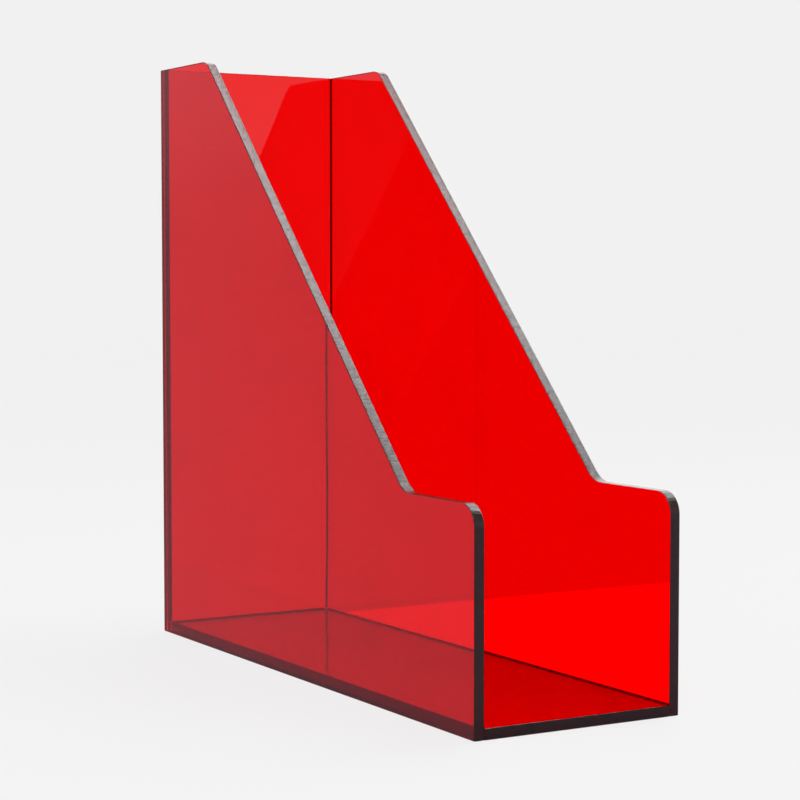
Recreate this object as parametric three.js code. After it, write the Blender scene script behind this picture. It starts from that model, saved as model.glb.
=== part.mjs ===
// Open-front magazine rack, made of four flat panels of 5 mm transparent red acrylic sheet.
// The two side panels stand on their own lower edges. The base and the back panel fit between
// them, and thin lines of clear acrylic cement hold every joint.
//
// Frame: millimetres, +Z up, +X to the right as seen from the front, the open front towards -Y.
// The origin is on the surface that the rack stands on, at the middle of its footprint.
import * as THREE from 'three';

// Overall sizes
const WIDTH = 105; // over the outer faces of the side panels
const DEPTH = 315; // from the front edges to the back panel's outer face
const HEIGHT = 300; // of the back panel and of the rear of the side panels

// Sheet and joints
const SHEET = 5; // thickness of every panel
const CEMENT = 0.3; // thickness of the cement between two panels
const EDGE_EASE = 0.3; // width of the small bevel that breaks each panel's free sharp edges

// Outline of the side panels
const FRONT_HEIGHT = 98; // height of the panel at the open front
const FRONT_LAND = 58; // level stretch from the front to where the slope starts
const TOP_LAND = 57; // level stretch at the top, from the slope to the back
const FRONT_ROUNDING = 10; // radius at the top of the front edge
const NOTCH_ROUNDING = 14; // radius where the front land meets the slope
const TOP_ROUNDING = 12; // radius where the slope meets the top land
const SQUARE = 0; // radius of a corner, or bevel of a rim, that is left square
const ARC_STEPS = 8; // curve segments, which a rounding divides its arc by twice over
const BEVEL_STEPS = 1; // the edge bevel is one flat facet

// Colours and finish
const ACRYLIC_RED = 0xd6121a;
const CEMENT_RED = 0x5c0a0e;
const POLISHED = 0.05;
const DULL = 0.35;
const NOT_METAL = 0;
const SEE_THROUGH = 0.6; // opacity of one sheet

// Places that several pieces share
const HALF_WIDTH = WIDTH / 2;
const FRONT_Y = -DEPTH / 2;
const REAR_Y = DEPTH / 2;
const BACK_FACE_Y = REAR_Y - SHEET; // inner face of the back panel
const BASE_REAR_Y = BACK_FACE_Y - CEMENT;
const INNER_X = HALF_WIDTH - SHEET; // inner face of a side panel
const FITTED_X = INNER_X - CEMENT; // end of the base and of the back panel

// A panel's outline is drawn in (Y, Z) and its thickness grows along X, so the shape's own x, y and z
// axes become the rack's Y, Z and X axes.
const OUTLINE_TO_RACK = new THREE.Matrix4().makeBasis(
  new THREE.Vector3(0, 1, 0),
  new THREE.Vector3(0, 0, 1),
  new THREE.Vector3(1, 0, 0),
);

function acrylic() {
  return new THREE.MeshStandardMaterial({
    color: ACRYLIC_RED,
    roughness: POLISHED,
    metalness: NOT_METAL,
    transparent: true,
    opacity: SEE_THROUGH,
  });
}

function cement() {
  return new THREE.MeshStandardMaterial({
    color: CEMENT_RED,
    roughness: DULL,
    metalness: NOT_METAL,
  });
}

// Closed outline through corners given as [y, z, radius]. A rounding touches both of its corner's
// sides: it starts and ends radius * tan(turn / 2) from the corner.
function roundedOutline(corners) {
  const shape = new THREE.Shape();
  corners.forEach(([y, z, radius], i) => {
    const corner = new THREE.Vector2(y, z);
    const before = new THREE.Vector2(...corners.at(i - 1));
    const after = new THREE.Vector2(...corners[(i + 1) % corners.length]);
    const arriving = corner.clone().sub(before).normalize();
    const leaving = after.clone().sub(corner).normalize();
    const turn = Math.atan2(arriving.cross(leaving), arriving.dot(leaving));
    const reach = radius * Math.tan(Math.abs(turn) / 2);
    const start = corner.clone().addScaledVector(arriving, -reach);
    if (i === 0) shape.moveTo(start.x, start.y);
    else shape.lineTo(start.x, start.y);
    if (radius === SQUARE) return;

    // The arc's centre lies to the left of the line on a left turn, and to the right on a right turn.
    const side = Math.sign(turn);
    const centre = new THREE.Vector2(-arriving.y, arriving.x).multiplyScalar(side * radius).add(start);
    const startAngle = Math.atan2(start.y - centre.y, start.x - centre.x);
    shape.absarc(centre.x, centre.y, radius, startAngle, startAngle + turn, side < 0);
  });
  shape.closePath();
  return shape;
}

// Flat piece with its outline in (Y, Z), between lowX and highX.
function flatPiece(name, corners, lowX, highX, material, rimEase = SQUARE) {
  const geometry = new THREE.ExtrudeGeometry(roundedOutline(corners), {
    depth: highX - lowX - 2 * rimEase,
    curveSegments: ARC_STEPS,
    bevelEnabled: rimEase > SQUARE,
    bevelThickness: rimEase,
    bevelSize: rimEase,
    bevelOffset: -rimEase,
    bevelSegments: BEVEL_STEPS,
  });
  geometry.applyMatrix4(OUTLINE_TO_RACK);
  const mesh = new THREE.Mesh(geometry, material);
  mesh.name = name;
  mesh.position.x = lowX + rimEase;
  return mesh;
}

// The side panels' edges are eased all the way round on both faces.
function sidePanel(name, lowX) {
  const corners = [
    [FRONT_Y, 0, SQUARE],
    [REAR_Y, 0, SQUARE],
    [REAR_Y, HEIGHT, SQUARE],
    [REAR_Y - TOP_LAND, HEIGHT, TOP_ROUNDING],
    [FRONT_Y + FRONT_LAND, FRONT_HEIGHT, NOTCH_ROUNDING],
    [FRONT_Y, FRONT_HEIGHT, FRONT_ROUNDING],
  ];
  return flatPiece(name, corners, lowX, lowX + SHEET, acrylic(), EDGE_EASE);
}

// The base's ends and rear edge are cemented, so only its free front edge is eased.
function basePanel() {
  const corners = [
    [FRONT_Y, 0, EDGE_EASE],
    [BASE_REAR_Y, 0, SQUARE],
    [BASE_REAR_Y, SHEET, SQUARE],
    [FRONT_Y, SHEET, EDGE_EASE],
  ];
  return flatPiece('base_panel', corners, -FITTED_X, FITTED_X, acrylic());
}

// The back panel stands behind the base. Its ends are cemented, and its top and lower rear edges
// are eased.
function backPanel() {
  const corners = [
    [BACK_FACE_Y, 0, SQUARE],
    [REAR_Y, 0, EDGE_EASE],
    [REAR_Y, HEIGHT, EDGE_EASE],
    [BACK_FACE_Y, HEIGHT, EDGE_EASE],
  ];
  return flatPiece('back_panel', corners, -FITTED_X, FITTED_X, acrylic());
}

// Cement between a side panel and the end of another panel. It is scraped back by the edge bevel
// wherever it would reach the outside.
function endCement(name, side, frontY, rearY, topZ) {
  const corners = [
    [frontY, EDGE_EASE, SQUARE],
    [rearY, EDGE_EASE, SQUARE],
    [rearY, topZ, SQUARE],
    [frontY, topZ, SQUARE],
  ];
  const lowX = side < 0 ? -INNER_X : FITTED_X;
  const highX = side < 0 ? -FITTED_X : INNER_X;
  return flatPiece(name, corners, lowX, highX, cement());
}

// Cement between the base's rear edge and the back panel.
function rearCement() {
  const corners = [
    [BASE_REAR_Y, EDGE_EASE, SQUARE],
    [BACK_FACE_Y, EDGE_EASE, SQUARE],
    [BACK_FACE_Y, SHEET, SQUARE],
    [BASE_REAR_Y, SHEET, SQUARE],
  ];
  return flatPiece('cement_base_back', corners, -FITTED_X, FITTED_X, cement());
}

const rack = new THREE.Group();
rack.add(sidePanel('left_side_panel', -HALF_WIDTH));
rack.add(sidePanel('right_side_panel', INNER_X));
rack.add(basePanel());
rack.add(backPanel());
rack.add(rearCement());
for (const [word, side] of [['left', -1], ['right', 1]]) {
  rack.add(endCement(`cement_base_${word}`, side, FRONT_Y + EDGE_EASE, BASE_REAR_Y, SHEET));
  rack.add(endCement(`cement_back_${word}`, side, BACK_FACE_Y, REAR_Y - EDGE_EASE, HEIGHT - EDGE_EASE));
}

export default rack;
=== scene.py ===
"""An open-front magazine rack of transparent red acrylic sheet, on a pale table in soft studio light.

Metres, +Z up, +X to the right as seen from the front, the open front towards -Y.
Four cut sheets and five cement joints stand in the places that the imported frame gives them.
"""

import math

import bpy
import numpy as np
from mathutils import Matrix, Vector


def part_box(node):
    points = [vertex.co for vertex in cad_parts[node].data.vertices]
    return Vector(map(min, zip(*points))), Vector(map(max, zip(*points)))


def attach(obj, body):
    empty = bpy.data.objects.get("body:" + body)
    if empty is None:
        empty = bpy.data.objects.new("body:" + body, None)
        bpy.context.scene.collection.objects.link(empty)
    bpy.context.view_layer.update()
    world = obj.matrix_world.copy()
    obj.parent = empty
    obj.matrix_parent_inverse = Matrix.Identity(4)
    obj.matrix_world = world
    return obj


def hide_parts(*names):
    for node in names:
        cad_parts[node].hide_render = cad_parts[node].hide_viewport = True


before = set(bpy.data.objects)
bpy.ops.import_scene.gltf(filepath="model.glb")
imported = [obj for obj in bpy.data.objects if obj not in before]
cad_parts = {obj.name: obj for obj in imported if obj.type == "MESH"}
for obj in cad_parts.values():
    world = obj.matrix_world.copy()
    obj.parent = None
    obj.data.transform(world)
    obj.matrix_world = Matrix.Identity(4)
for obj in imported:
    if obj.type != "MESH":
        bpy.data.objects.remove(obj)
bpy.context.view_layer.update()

MM = 0.001
BODY = "root"

# Places and sizes read from the frame
SIDE_LOW, SIDE_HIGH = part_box("left_side_panel")
BASE_LOW, BASE_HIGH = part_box("base_panel")
BACK_LOW, BACK_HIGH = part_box("back_panel")
FRONT_Y, REAR_Y = SIDE_LOW.y, SIDE_HIGH.y
FLOOR_Z, TOP_Z = SIDE_LOW.z, SIDE_HIGH.z
OUTER_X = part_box("right_side_panel")[1].x
SHEET = SIDE_HIGH.x - SIDE_LOW.x
INNER_X = OUTER_X - SHEET
CEMENT = INNER_X - BASE_HIGH.x

# Outline of the side panels
FRONT_HEIGHT = 98 * MM
FRONT_LAND = 58 * MM
TOP_LAND = 57 * MM
FRONT_ROUNDING = 10 * MM
NOTCH_ROUNDING = 14 * MM
TOP_ROUNDING = 12 * MM

# Finish of the cut edges and of the joints
ARRIS = 0.35 * MM  # radius of the broken edge between a face and a rim
SHARP = 0.5 * MM  # radius of a side panel's square corners
CRISP = 0.04 * MM  # radius of an edge that is left square for cementing
FILM_GAP = 0.02 * MM  # air left between a cement line and each panel
BEAD = 0.8 * MM  # reach of the cement squeezed into an inside corner

CROWN = 0.07 * MM  # how far a buffed rim stands out in the middle of its width
CROWN_ROUNDING = 64 * MM  # radius that rounds off the crown's peak on the base's and the back's outline

ARC_STEP = math.radians(3)  # turn between two points of a rounding
LEAST_STEPS = 6  # in any rounding
ARRIS_STEPS = 6
CROWN_STEPS = 6
BEAD_STEPS = 6
BEAD_HOLLOW = 0.97  # radius of a bead's hollow, as a share of its reach
X, Y, Z = range(3)

# Acrylic
ACRYLIC_IOR = 1.49
CEMENT_IOR = 1.10  # low, because the cement wets both panels and shows no skin of its own
FACE_TINT = (0.75, 0.05, 0.06)
SMUDGED_TINT = tuple(0.96 * shade for shade in FACE_TINT)
# dark colour of the rims: partly the light that sawn rims lose, partly painted shade for the dark behind
# them
RIM_TINT_AND_SHADE = (0.12, 0.02, 0.03)
FILM_TINT = (0.96, 0.50, 0.50)
BEAD_TINT = (0.10, 0.01, 0.015)
RED_LOSS = 8.0  # light lost per metre of sheet, in the red
CEMENT_RED_LOSS = 300.0  # and per metre of cement
COOL_LOSS = 1500.0  # light lost per metre in the green and blue

# Patterns in the finish: features per metre, what each adds to the roughness, and its share of the relief
WAVE_SCALE, WAVE_RELIEF = 14.0, 0.5
SMUDGE_SCALE, SMUDGE_ROUGH = 23.0, 0.02
SMUDGE_RANGE = (0.45, 0.75)  # the noise that starts a smudge, and that makes a full one
HAIR_SCALE, HAIR_ROUGH, HAIR_RELIEF = 60.0, 0.03, 0.004
HAIR_RANGE = (0.68, 0.74)
HAIR_STRETCH = (1, 1, 34)  # hair scratches run level
RIB_SCALE, RIB_ROUGH, RIB_RELIEF = 1300.0, 0.22, 0.34
STREAK_SCALE, STREAK_RELIEF = 1900.0, 0.14
LUMP_SCALE, LUMP_ROUGH = 160.0, 0.10
FACE_ROUGH, RIM_ROUGH, CEMENT_ROUGH = 0.015, 0.10, 0.05
ACRYLIC_RELIEF, CEMENT_RELIEF = 0.5 * MM, 0.2 * MM
MARKS = {"rib_place": (1.0, 0.12), "streak_place": (0.02, 1.0)}  # scales along and across a rim
POLISHED = 0.12  # share of a sawn rim's look that is left on a polished one


# ---------------------------------------------------------------- node trees

class Socket:
    """A number coming out of a node. Arithmetic on it adds Math nodes to the same tree."""

    def __init__(self, tree, socket):
        self.tree, self.socket = tree, socket

    def __add__(self, other):
        return self.tree.maths("ADD", self, other)

    def __radd__(self, other):
        return self.tree.maths("ADD", other, self)

    def __sub__(self, other):
        return self.tree.maths("SUBTRACT", self, other)

    def __rsub__(self, other):
        return self.tree.maths("SUBTRACT", other, self)

    def __mul__(self, other):
        return self.tree.maths("MULTIPLY", self, other)

    def __rmul__(self, other):
        return self.tree.maths("MULTIPLY", other, self)

    def __truediv__(self, other):
        return self.tree.maths("DIVIDE", self, other)


class Tree:
    """The node tree of a material or of the world, cleared and ready to be filled."""

    def __init__(self, owner):
        owner.use_nodes = True
        self.nodes, self.links = owner.node_tree.nodes, owner.node_tree.links
        self.nodes.clear()

    def add(self, kind, settings=None, inputs=None, output=0):
        """Adds a node, with its settings first, then its sockets' values or links."""
        node = self.nodes.new(kind)
        for name, value in (settings or {}).items():
            setattr(node, name, value)
        for name, value in (inputs or {}).items():
            if isinstance(value, Socket):
                self.links.new(value.socket, node.inputs[name])
            else:
                node.inputs[name].default_value = value
        return Socket(self, node.outputs[output]) if node.outputs else node

    def maths(self, operation, first, second=0.0):
        """A Math node's result for one or two numbers."""
        return self.add("ShaderNodeMath", {"operation": operation}, {0: first, 1: second})

    def part(self, vector, axis):
        """One of the three numbers of a vector."""
        return self.add("ShaderNodeSeparateXYZ", {}, {"Vector": vector}, axis)

    def rays(self, kind):
        """1 for rays of one kind, and 0 for all others."""
        return self.add("ShaderNodeLightPath", {}, {}, kind)

    def noise(self, place, scale, stretch=(1, 1, 1), detail=2.0, roughness=0.5):
        """Soft noise around 0.5 over a place, with the pattern squeezed by stretch along each axis."""
        spread = self.add("ShaderNodeMapping", {}, {"Vector": place, "Scale": stretch})
        inputs = {"Vector": spread, "Scale": scale, "Detail": detail, "Roughness": roughness}
        return self.add("ShaderNodeTexNoise", {}, inputs)

    def band(self, value, low, high):
        """0 at low and before it, 1 at high and past it, and smooth between; low may be the larger one."""
        settings = {"interpolation_type": "SMOOTHSTEP"}
        inputs = {"Value": value, "From Min": low, "From Max": high}
        return self.add("ShaderNodeMapRange", settings, inputs)

    def mix_colours(self, factor, first, second):
        """Blend of two colours."""
        inputs = {"Factor": factor, 6: first, 7: second}
        return self.add("ShaderNodeMix", {"data_type": "RGBA"}, inputs, "Result")

    def scale_colour(self, colour, factor):
        """A colour made brighter or darker by a number."""
        inputs = {0: colour, "Scale": factor}
        return self.add("ShaderNodeVectorMath", {"operation": "SCALE"}, inputs)


# ---------------------------------------------------------------- materials

def see_through(tree, surface, ior, loss_red, loss_cool):
    """Finishes a clear material: a smooth refracting skin over a filling that absorbs light."""
    skin = {"Transmission Weight": 1.0, "IOR": ior, **surface}
    shader = tree.add("ShaderNodeBsdfPrincipled", {}, skin)
    left_over = (1 - loss_red / loss_cool, 0.0, 0.0, 1.0)
    filling = tree.add("ShaderNodeVolumeAbsorption", {}, {"Color": left_over, "Density": loss_cool})
    tree.add("ShaderNodeOutputMaterial", {}, {"Surface": shader, "Volume": filling})


def acrylic():
    """Clear red cast acrylic: glossy faces, and sawn and buffed rims with fine ribs across them."""
    material = bpy.data.materials.new("red_cast_acrylic")
    tree = Tree(material)
    place = tree.add("ShaderNodeTexCoord", {}, {}, "Object")
    rim = tree.add("ShaderNodeAttribute", {"attribute_name": "rim"}, {}, "Fac")
    ribbed = tree.add("ShaderNodeAttribute", {"attribute_name": "rib_place"}, {}, "Vector")
    drawn = tree.add("ShaderNodeAttribute", {"attribute_name": "streak_place"}, {}, "Vector")

    waves = tree.noise(place, WAVE_SCALE, detail=1.0)
    smudges = tree.band(tree.noise(place, SMUDGE_SCALE, detail=4.0), *SMUDGE_RANGE)
    hairs = tree.band(tree.noise(place, HAIR_SCALE, stretch=HAIR_STRETCH, detail=3.0), *HAIR_RANGE)
    ribs = tree.noise(ribbed, RIB_SCALE, detail=2.0, roughness=0.6)
    streaks = tree.noise(drawn, STREAK_SCALE, detail=2.0)

    face_rough = FACE_ROUGH + SMUDGE_ROUGH * smudges + HAIR_ROUGH * hairs
    rim_rough = RIM_ROUGH + RIB_ROUGH * ribs
    roughness = face_rough * (1 - rim) + rim_rough * rim
    face_relief = waves * WAVE_RELIEF + hairs * HAIR_RELIEF
    rim_relief = ribs * RIB_RELIEF + streaks * STREAK_RELIEF
    relief = face_relief * (1 - rim) + rim_relief * rim
    bump = tree.add("ShaderNodeBump", {}, {"Strength": 1.0, "Distance": ACRYLIC_RELIEF, "Height": relief})
    face = tree.mix_colours(smudges, (*FACE_TINT, 1.0), (*SMUDGED_TINT, 1.0))
    # the rims take their dark colour, which is partly painted shade
    tone = tree.mix_colours(rim, face, (*RIM_TINT_AND_SHADE, 1.0))
    surface = {"Base Color": tone, "Roughness": roughness, "Normal": bump}
    see_through(tree, surface, ACRYLIC_IOR, RED_LOSS, COOL_LOSS)
    return material


def acrylic_cement():
    """Set cement: clear where it is a thin film, and dark where it has gathered into a bead."""
    material = bpy.data.materials.new("acrylic_cement")
    tree = Tree(material)
    place = tree.add("ShaderNodeTexCoord", {}, {}, "Object")
    gathered = tree.add("ShaderNodeAttribute", {"attribute_name": "gathered"}, {}, "Fac")
    lumps = tree.noise(place, LUMP_SCALE, detail=2.0)
    bump = tree.add("ShaderNodeBump", {}, {"Strength": 0.4, "Distance": CEMENT_RELIEF, "Height": lumps})
    tone = tree.mix_colours(gathered, (*FILM_TINT, 1.0), (*BEAD_TINT, 1.0))
    surface = {"Base Color": tone, "Roughness": CEMENT_ROUGH + LUMP_ROUGH * lumps, "Normal": bump}
    see_through(tree, surface, CEMENT_IOR, CEMENT_RED_LOSS, COOL_LOSS)
    return material


# ---------------------------------------------------------------- meshes

def squeezed(points, axis, along, across):
    """The points with their coordinate on one axis scaled by across, and the other two by along."""
    scale = np.full(3, along)
    scale[axis] = across
    return points * scale


def set_in_place(name, mesh, material, node):
    """Makes a piece of a finished mesh, to stand for one node of the frame."""
    mesh.materials.append(material)
    mesh.update()
    piece = bpy.data.objects.new(name, mesh)
    bpy.context.scene.collection.objects.link(piece)
    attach(piece, BODY)
    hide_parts(node)


def sheet_piece(name, points, faces, normals, rim, thickness_axis, material, node):
    """Acrylic piece from a closed mesh, with its normals and the marks that its pattern follows.

    rim is 1 on sawn rims, less on polished ones, and 0 on faces. rib_place changes fast along a rim
    and slowly across it, and streak_place the other way round.
    """
    mesh = bpy.data.meshes.new(name)
    mesh.from_pydata(points.tolist(), [], faces)
    mesh.polygons.foreach_set("use_smooth", np.ones(len(faces), bool))
    mask = mesh.attributes.new("rim", "FLOAT", "POINT")
    mask.data.foreach_set("value", rim.astype(np.float32))
    for mark, (along, across) in MARKS.items():
        vectors = mesh.attributes.new(mark, "FLOAT_VECTOR", "POINT")
        spread = squeezed(points, thickness_axis, along, across)
        vectors.data.foreach_set("vector", spread.astype(np.float32).ravel())
    mesh.normals_split_custom_set_from_vertices(normals.tolist())
    set_in_place(name, mesh, material, node)


# ---------------------------------------------------------------- cut sheet

def rounded_outline(corners):
    """Closed outline through corners given as (y, z, radius), anticlockwise.

    Each corner is an arc of its radius that touches both of its sides: its centre lies a radius to
    the left of the arriving line on a left turn, and to the right on a right turn. Gives the points
    and their outward directions.
    """
    points, outwards = [], []
    for i, (y, z, radius) in enumerate(corners):
        corner = np.array([y, z])
        before = np.array(corners[i - 1][:2])
        after = np.array(corners[(i + 1) % len(corners)][:2])
        arriving = (corner - before) / np.linalg.norm(corner - before)
        leaving = (after - corner) / np.linalg.norm(after - corner)
        turn = math.atan2(arriving[0] * leaving[1] - arriving[1] * leaving[0], arriving @ leaving)
        side = math.copysign(1.0, turn)
        start = corner - arriving * radius * math.tan(abs(turn) / 2)
        centre = start + side * radius * np.array([-arriving[1], arriving[0]])
        steps = max(LEAST_STEPS, math.ceil(abs(turn) / ARC_STEP))
        angle = math.atan2(-arriving[0], arriving[1]) + turn * np.linspace(0, 1, steps + 1)
        outward = np.stack([np.cos(angle), np.sin(angle)], 1)
        outwards.append(outward)
        points.append(centre + side * radius * outward)
    return np.concatenate(points), np.concatenate(outwards)


def cut_sheet(name, corners, low_x, high_x, arris, thickness_axis, is_cut, material, node):
    """A sheet with its outline in (Y, Z), carried along X, with rounded edges.

    Where X is its thickness its rims are crowned; the base and the back run their length along X, and
    carry the crown in their outline.
    Across the rim, at an offset o from the middle of the half width h, a point is
    outline - inset * outward with inset = crown * (o / h)^2 + arris * (1 - sin(turn)).
    The turn is a right angle along the rim, and falls to zero over a quarter circle of the arris
    radius at either face. The normal is (cos(turn) + slope * sin(turn), sin(turn)), along X and
    outward, where the slope of the crown is 2 * crown * o / h^2.
    is_cut gives from the outward directions how sawn each stretch of the outline is, from 0 to 1.
    """
    outline, outward = rounded_outline(corners)
    half = (high_x - low_x) / 2
    crown = CROWN if thickness_axis == X else 0.0
    quarter = np.linspace(0, math.pi / 2, ARRIS_STEPS + 1)
    edge = half - arris * (1 - np.cos(quarter))
    level = np.linspace(-edge[-1], edge[-1], CROWN_STEPS + 1)[1:-1]
    offset = np.concatenate([-edge, level, edge[::-1]])
    turn = np.concatenate([quarter, np.full(len(level), math.pi / 2), quarter[::-1]])
    inset = crown * (offset / half) ** 2 + arris * (1 - np.sin(turn))
    lean = np.sign(offset) * np.cos(turn) + 2 * crown * offset / half ** 2 * np.sin(turn)
    spread = np.sin(turn)
    length = np.hypot(lean, spread)
    lean, spread = lean / length, spread / length
    around, along = len(outline), len(offset)

    points = np.zeros((around, along, 3))
    points[..., X] = (low_x + high_x) / 2 + offset
    points[..., Y:] = outline[:, None] - inset[None, :, None] * outward[:, None]
    normals = np.zeros((around, along, 3))
    normals[..., X] = lean
    normals[..., Y:] = spread[None, :, None] * outward[:, None]
    rim = is_cut(outward)[:, None] * (spread > 0.5)

    index = np.arange(around * along).reshape(around, along)
    after = np.roll(index, -1, 0)
    quads = np.stack([index[:, :-1], after[:, :-1], after[:, 1:], index[:, 1:]], -1)
    ends = [index[::-1, 0].tolist(), index[:, -1].tolist()]
    faces = quads.reshape(-1, 4).tolist() + ends
    flat = (points.reshape(-1, 3), faces, normals.reshape(-1, 3), rim.ravel())
    sheet_piece(name, *flat, thickness_axis, material, node)


def side_corners():
    """Square at the back, level at the top, sloping down to the low level stretch at the front."""
    return [
        (FRONT_Y, FLOOR_Z, SHARP),
        (REAR_Y, FLOOR_Z, SHARP),
        (REAR_Y, TOP_Z, SHARP),
        (REAR_Y - TOP_LAND, TOP_Z, TOP_ROUNDING),
        (FRONT_Y + FRONT_LAND, FLOOR_Z + FRONT_HEIGHT, NOTCH_ROUNDING),
        (FRONT_Y, FLOOR_Z + FRONT_HEIGHT, FRONT_ROUNDING),
    ]


def base_corners():
    """The base's own section: only its free front edge is broken."""
    return [
        (BASE_LOW.y + CROWN, BASE_LOW.z, ARRIS),
        (BASE_HIGH.y, BASE_LOW.z, CRISP),
        (BASE_HIGH.y, BASE_HIGH.z, CRISP),
        (BASE_LOW.y + CROWN, BASE_HIGH.z, ARRIS),
        (BASE_LOW.y, (BASE_LOW.z + BASE_HIGH.z) / 2, CROWN_ROUNDING),
    ]


def back_corners():
    """The back's own section: its top edges and its lower rear edge are broken."""
    return [
        (BACK_LOW.y, BACK_LOW.z, CRISP),
        (BACK_HIGH.y, BACK_LOW.z, ARRIS),
        (BACK_HIGH.y, BACK_HIGH.z - CROWN, ARRIS),
        ((BACK_LOW.y + BACK_HIGH.y) / 2, BACK_HIGH.z, CROWN_ROUNDING),
        (BACK_LOW.y, BACK_HIGH.z - CROWN, ARRIS),
    ]


# ---------------------------------------------------------------- cement joints

def cement_line(name, profile, axes, low, high, is_bead, material, node):
    """A cement joint: a thin film between two panels that ends in a concave bead in the inside corner.

    The closed profile lies on the first two axes and is carried straight along the third, from low to
    high, with a flat face at each end. Every face has its own corners, so its edges stay crisp.
    """
    profile = np.array(profile)
    after = np.roll(profile, -1, 0)
    area = np.sum(profile[:, 0] * after[:, 1] - profile[:, 1] * after[:, 0])
    mirrored = axes == (X, Z, Y)
    if (area < 0) != mirrored:
        profile = profile[::-1]
    around = len(profile)
    points = np.zeros((around, 2, 3))
    points[..., axes[0]] = profile[:, None, 0]
    points[..., axes[1]] = profile[:, None, 1]
    points[..., axes[2]] = low, high
    index = np.arange(around * 2).reshape(around, 2)
    ahead = np.roll(index, -1, 0)
    quads = np.stack([index[:, 0], ahead[:, 0], ahead[:, 1], index[:, 1]], -1)
    faces = quads.tolist() + [index[::-1, 0].tolist(), index[:, 1].tolist()]
    mesh = bpy.data.meshes.new(name)
    mesh.from_pydata(points.reshape(-1, 3).tolist(), [], faces)
    gathered = mesh.attributes.new("gathered", "FLOAT", "POINT")
    gathered.data.foreach_set("value", np.repeat(is_bead(profile), 2).astype(np.float32))
    set_in_place(name, mesh, material, node)


def film_and_bead(gap_low, gap_high, seat_low, seat_high, towards):
    """Profile of a joint in (p, q): the film fills the gap along p from seat_low up to seat_high.

    Above seat_high a bead bridges the corner: a quarter circle that is concave towards the open side,
    from the film's far face, a bead's reach up, to the seat, a bead's reach away in the direction
    towards, which is 1 or -1 along p. Its radius is a little short of the reach, so that the bead's tips
    keep some thickness.
    """
    wall = gap_low if towards > 0 else gap_high
    edge = gap_high if towards > 0 else gap_low
    turn = np.linspace(0, math.pi / 2, BEAD_STEPS + 1)
    centre_p, centre_q = wall + towards * BEAD, seat_high + BEAD
    hollow = BEAD * BEAD_HOLLOW
    sweep = np.stack([centre_p - towards * hollow * np.cos(turn), centre_q - hollow * np.sin(turn)], 1)
    start = [(wall, seat_low), (wall, seat_high + BEAD)]
    end = [(wall + towards * BEAD, seat_high + FILM_GAP), (edge, seat_high + FILM_GAP), (edge, seat_low)]
    return start + sweep.tolist() + end


# ---------------------------------------------------------------- build

def sides_cut(outward):
    """Every edge of a side is sawn, and the lower one that it stands on is polished as well."""
    facing_down = outward[:, 1] < -0.5
    return np.where(facing_down, POLISHED, 1.0)


def front_only(outward):
    """The base is sawn at its front edge."""
    return (outward[:, 0] < -0.7).astype(float)


def top_and_bottom(outward):
    """The back is sawn along its top and its bottom."""
    return (abs(outward[:, 1]) > 0.7).astype(float)


def over_the_base(profile):
    """Marks the bead of a joint along the base."""
    return profile[:, 1] > BASE_HIGH.z


def before_the_back(profile):
    """Marks the bead of an upright joint at the back."""
    return profile[:, 1] < BACK_LOW.y


red = acrylic()
cement = acrylic_cement()

side = side_corners()
cut_sheet("left_side_sheet", side, -OUTER_X, -INNER_X, ARRIS, X, sides_cut, red, "left_side_panel")
cut_sheet("right_side_sheet", side, INNER_X, OUTER_X, ARRIS, X, sides_cut, red, "right_side_panel")
ends = (BASE_LOW.x, BASE_HIGH.x, CRISP)
cut_sheet("base_sheet", base_corners(), *ends, Z, front_only, red, "base_panel")
cut_sheet("back_sheet", back_corners(), *ends, Y, top_and_bottom, red, "back_panel")

film_low, film_high = INNER_X - CEMENT + FILM_GAP, INNER_X - FILM_GAP
film_ends = {"left": (-film_high, -film_low), "right": (film_low, film_high)}
inwards = {"left": 1, "right": -1}
low_z, floor_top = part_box("cement_base_left")[0].z, BASE_HIGH.z
joint_front = FRONT_Y + ARRIS / 2
joint_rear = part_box("cement_base_left")[1].y - BEAD
back_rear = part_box("cement_back_left")[1].y
upright_low, upright_high = floor_top + BEAD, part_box("cement_back_left")[1].z

for hand, film in film_ends.items():
    node = f"cement_base_{hand}"
    profile = film_and_bead(*film, low_z, floor_top, inwards[hand])
    reach = (joint_front, joint_rear)
    cement_line(f"{node}_bead", profile, (X, Z, Y), *reach, over_the_base, cement, node)

for hand, film in film_ends.items():
    node = f"cement_back_{hand}"
    profile = film_and_bead(*film, -back_rear, -BACK_LOW.y, inwards[hand])
    profile = [(p, -q) for p, q in profile]
    reach = (upright_low, upright_high)
    cement_line(f"{node}_bead", profile, (X, Y, Z), *reach, before_the_back, cement, node)

profile = film_and_bead(BASE_HIGH.y + FILM_GAP, BACK_LOW.y - FILM_GAP, low_z, floor_top, -1)
rear_end = INNER_X - BEAD - CEMENT
reach = (-rear_end, rear_end)
cement_line("cement_base_back_bead", profile, (Y, Z, X), *reach, over_the_base, cement, "cement_base_back")


# ---------------------------------------------------------------- studio

WHITE = (1.0, 1.0, 1.0, 1.0)
PAPER = 0.879  # the tone of the plain background
PAPER_TONE = (0.92, 0.92, 0.92, 1.0)  # the table's own colour where it is lit
PAPER_SHADE = 0.08  # how much of the shadow on the table the camera sees
BEHIND = 1.20  # the backdrop as it is seen through the sheet
BEHIND_ABOVE = 1.3  # and what it gains higher up
TABLE_BEHIND = 1.80  # the table as it is seen through the sheet
TABLE_REAR = REAR_Y + 8.5 * MM  # where that brighter table ends
TABLE_REACH = 6.0
TABLE_DROP = 0.2 * MM  # gap under the rack, so that the two never share a face

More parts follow.
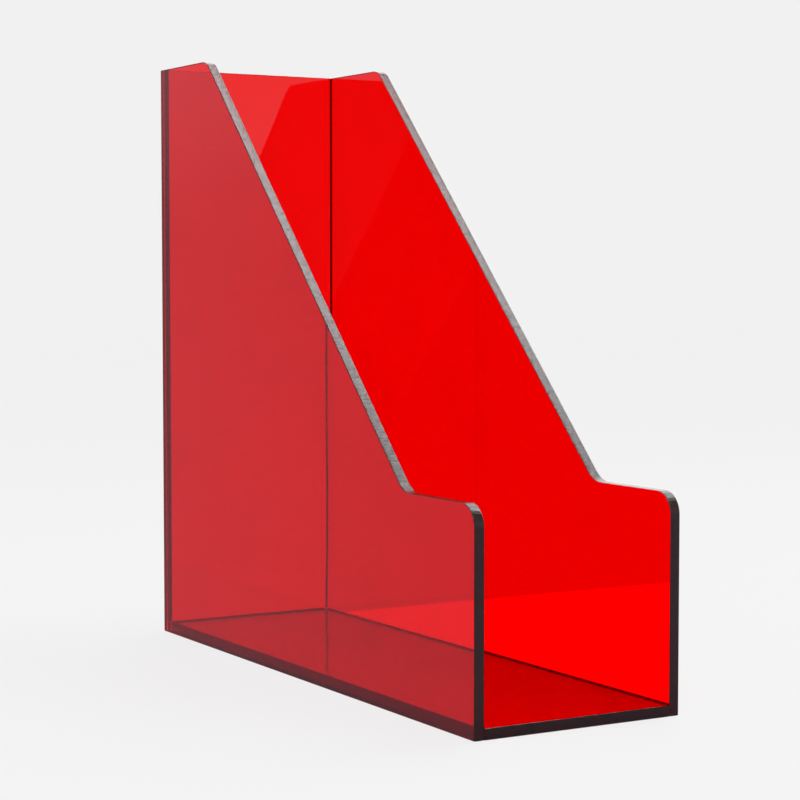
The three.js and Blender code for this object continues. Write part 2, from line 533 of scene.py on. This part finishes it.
# Brightness and tones that are mirrored in the sheet
MIRRORED_TABLE = 0.30
MIRRORED_FRONT = 0.18
MIRRORED_BEHIND_RIGHT = 0.9
TABLE_MIRROR_TONE = (1.0, 0.96, 1.14, 1.0)
LOW_WALL, HIGH_WALL = 0.30, 0.50
BEHIND_CAMERA = 0.8
BACKDROP, HIGH_BACKDROP = 1.1, 1.6
CEILING = 0.06
COOL_SIDE_TONE = (0.98, 0.95, 1.10, 1.0)
FOLD_SCALE, FOLD_STRETCH = 3.0, (1, 1, 3)

# Where those tones set in and where they are full: on the table in metres
TABLE_SIDES = (0.3, 1.5)
TABLE_FRONT = (-0.12, -0.30)
TABLE_RIGHT = (0.1, 0.6)
TABLE_FAR = (0.17, 0.6)
SHADED_SIDE = (OUTER_X - 4 * MM, OUTER_X + 20 * MM)
SHADED_END = (REAR_Y - 4 * MM, REAR_Y + 4 * MM)

# and around the room as parts of a unit direction
WALL_RISE = (0.0, 0.20)
CAMERA_WALL = (0.2, -0.3)
CAMERA_WALL_TOP = (0.2, 0.5)
BACKDROP_RIGHT = (-0.1, 0.4)
BACKDROP_FAR = (-0.2, 0.4)
BACKDROP_RISE = (0.2, 0.6)
CEILING_RISE = (0.70, 0.76)
CEILING_EDGE = (0.53, 0.60)
BEHIND_RISE = (0.3, 0.7)
COOL_LEFT = (0.1, -0.3)

CAMERA_PLACE = (-0.5116, FRONT_Y - 0.7334, 0.1926)
CAMERA_TURN, CAMERA_DIP = math.radians(30.04), math.radians(3.43)
LENS, SENSOR = 95.7, 36.0
CAMERA_SHIFT = (-0.000625, 0.000625)
LIGHT_BOUNCES, DIFFUSE_BOUNCES = 32, 3


def studio_floor():
    """A large pale table, whose tone runs into the background's.

    As it is seen through the sheet, and as it is mirrored in it, it has a brightness of its own.
    """
    material = bpy.data.materials.new("pale_table")
    tree = Tree(material)
    place = tree.add("ShaderNodeTexCoord", {}, {}, "Object")
    x = tree.part(place, "X")
    y = tree.part(place, "Y")
    camera = tree.rays("Is Camera Ray")
    through = tree.rays("Is Transmission Ray")
    glossy = tree.rays("Is Glossy Ray")
    aside = tree.maths("ABSOLUTE", x)
    past_the_rear = tree.band(y, TABLE_REAR, TABLE_REAR + 1 * MM)
    beyond = tree.maths("MAXIMUM", past_the_rear, tree.band(aside, *TABLE_SIDES))
    behind = TABLE_BEHIND - (TABLE_BEHIND - BEHIND) * beyond
    off_side = tree.band(aside, *SHADED_SIDE)
    off_end = tree.band(tree.maths("ABSOLUTE", y), *SHADED_END)
    clear = tree.maths("MAXIMUM", off_side, off_end)
    before = MIRRORED_FRONT * tree.band(y, *TABLE_FRONT)
    behind_right = MIRRORED_BEHIND_RIGHT * tree.band(x, *TABLE_RIGHT) * tree.band(y, *TABLE_FAR)
    mirrored = MIRRORED_TABLE + before + behind_right
    # The level is how bright the table glows, and the share is how much of it glows instead of being lit.
    level = camera * PAPER + through * (1 - camera) * behind
    level = level + glossy * (1 - camera) * (1 - through) * mirrored
    share = camera * (1 - PAPER_SHADE) + through * (1 - camera) * clear + glossy * (1 - through)
    tone = tree.mix_colours(glossy * (1 - through), WHITE, TABLE_MIRROR_TONE)
    glow = tree.add("ShaderNodeEmission", {}, {"Color": tree.scale_colour(tone, level), "Strength": 1.0})
    paper = tree.add("ShaderNodeBsdfDiffuse", {}, {"Color": PAPER_TONE})
    surface = tree.add("ShaderNodeMixShader", {}, {0: share, 1: paper, 2: glow})
    tree.add("ShaderNodeOutputMaterial", {}, {"Surface": surface})
    mesh = bpy.data.meshes.new("floor")
    corners = TABLE_REACH * np.array([(-1, -1, 0), (1, -1, 0), (1, 1, 0), (-1, 1, 0)])
    mesh.from_pydata((corners - [0, 0, TABLE_DROP]).tolist(), [], [(0, 1, 2, 3)])
    mesh.materials.append(material)
    floor = bpy.data.objects.new("floor", mesh)
    bpy.context.scene.collection.objects.link(floor)


def studio_world():
    """A plain pale room: the background's tone where the camera sees it, brighter behind the sheet.

    Mirrored in the sheet it has a wall that is brighter higher up, the lit side behind the camera, a
    bright backdrop behind the rack and to its right, a dark ceiling on the right, and a cool left side.
    """
    world = bpy.data.worlds.new("studio")
    bpy.context.scene.world = world
    tree = Tree(world)
    direction = tree.add("ShaderNodeTexCoord", {}, {}, "Generated")
    x = tree.part(direction, "X")
    y = tree.part(direction, "Y")
    up = tree.part(direction, "Z")
    camera = tree.rays("Is Camera Ray")
    through = tree.rays("Is Transmission Ray")
    folds = tree.noise(direction, FOLD_SCALE, stretch=FOLD_STRETCH, detail=1.0)
    wall = LOW_WALL + HIGH_WALL * tree.band(up, *WALL_RISE) * folds
    below_the_top = 1 - tree.band(up, *CAMERA_WALL_TOP)
    behind_camera = BEHIND_CAMERA * folds * tree.band(y, *CAMERA_WALL) * below_the_top
    backdrop = tree.band(x, *BACKDROP_RIGHT) * tree.band(y, *BACKDROP_FAR)
    backdrop = backdrop * (BACKDROP + HIGH_BACKDROP * tree.band(up, *BACKDROP_RISE))
    over = tree.maths("MAXIMUM", up, 0.01)  # never zero, so that x can be divided by it
    ceiling = tree.band(up, *CEILING_RISE) * tree.band(x / over, *CEILING_EDGE)
    around = (wall + behind_camera + backdrop) * (1 - ceiling) + CEILING * ceiling
    beyond = BEHIND + BEHIND_ABOVE * tree.band(up, *BEHIND_RISE)
    level = camera * PAPER + (1 - camera) * (through * beyond + (1 - through) * around)
    cool_side = (1 - camera) * (1 - through) * tree.band(x, *COOL_LEFT)
    tone = tree.mix_colours(cool_side, WHITE, COOL_SIDE_TONE)
    sky = tree.add("ShaderNodeBackground", {}, {"Color": tree.scale_colour(tone, level), "Strength": 1.0})
    tree.add("ShaderNodeOutputWorld", {}, {"Surface": sky})


def softbox(name, place, width, depth, power, spin):
    """A large rectangular lamp at a place, hanging level and spun about its own axis by degrees."""
    lamp = bpy.data.lights.new(name, "AREA")
    lamp.shape = "RECTANGLE"
    lamp.size, lamp.size_y, lamp.energy = width, depth, power
    holder = bpy.data.objects.new(name, lamp)
    bpy.context.scene.collection.objects.link(holder)
    holder.location = place
    holder.rotation_euler = (0, 0, math.radians(spin))


def camera_at_the_front_left():
    """The camera stands before the open front, to its left and a little above the rack's middle."""
    lens = bpy.data.cameras.new("camera")
    lens.lens, lens.sensor_width = LENS, SENSOR
    lens.shift_x, lens.shift_y = CAMERA_SHIFT
    holder = bpy.data.objects.new("camera", lens)
    holder.location = CAMERA_PLACE
    holder.rotation_euler = (math.pi / 2 - CAMERA_DIP, 0, -CAMERA_TURN)
    bpy.context.scene.collection.objects.link(holder)
    bpy.context.scene.camera = holder


studio_floor()
studio_world()
softbox("overhead_softbox", (0.557, -0.046, 1.1), width=0.80, depth=0.33, power=6.6, spin=-15)
softbox("left_softbox", (-0.9, -0.6, 1.1), width=0.6, depth=0.6, power=6, spin=0)
camera_at_the_front_left()

scene = bpy.context.scene
scene.view_settings.view_transform = "Standard"
scene.cycles.max_bounces = LIGHT_BOUNCES
scene.cycles.transmission_bounces = LIGHT_BOUNCES
scene.cycles.glossy_bounces = LIGHT_BOUNCES
scene.cycles.diffuse_bounces = DIFFUSE_BOUNCES
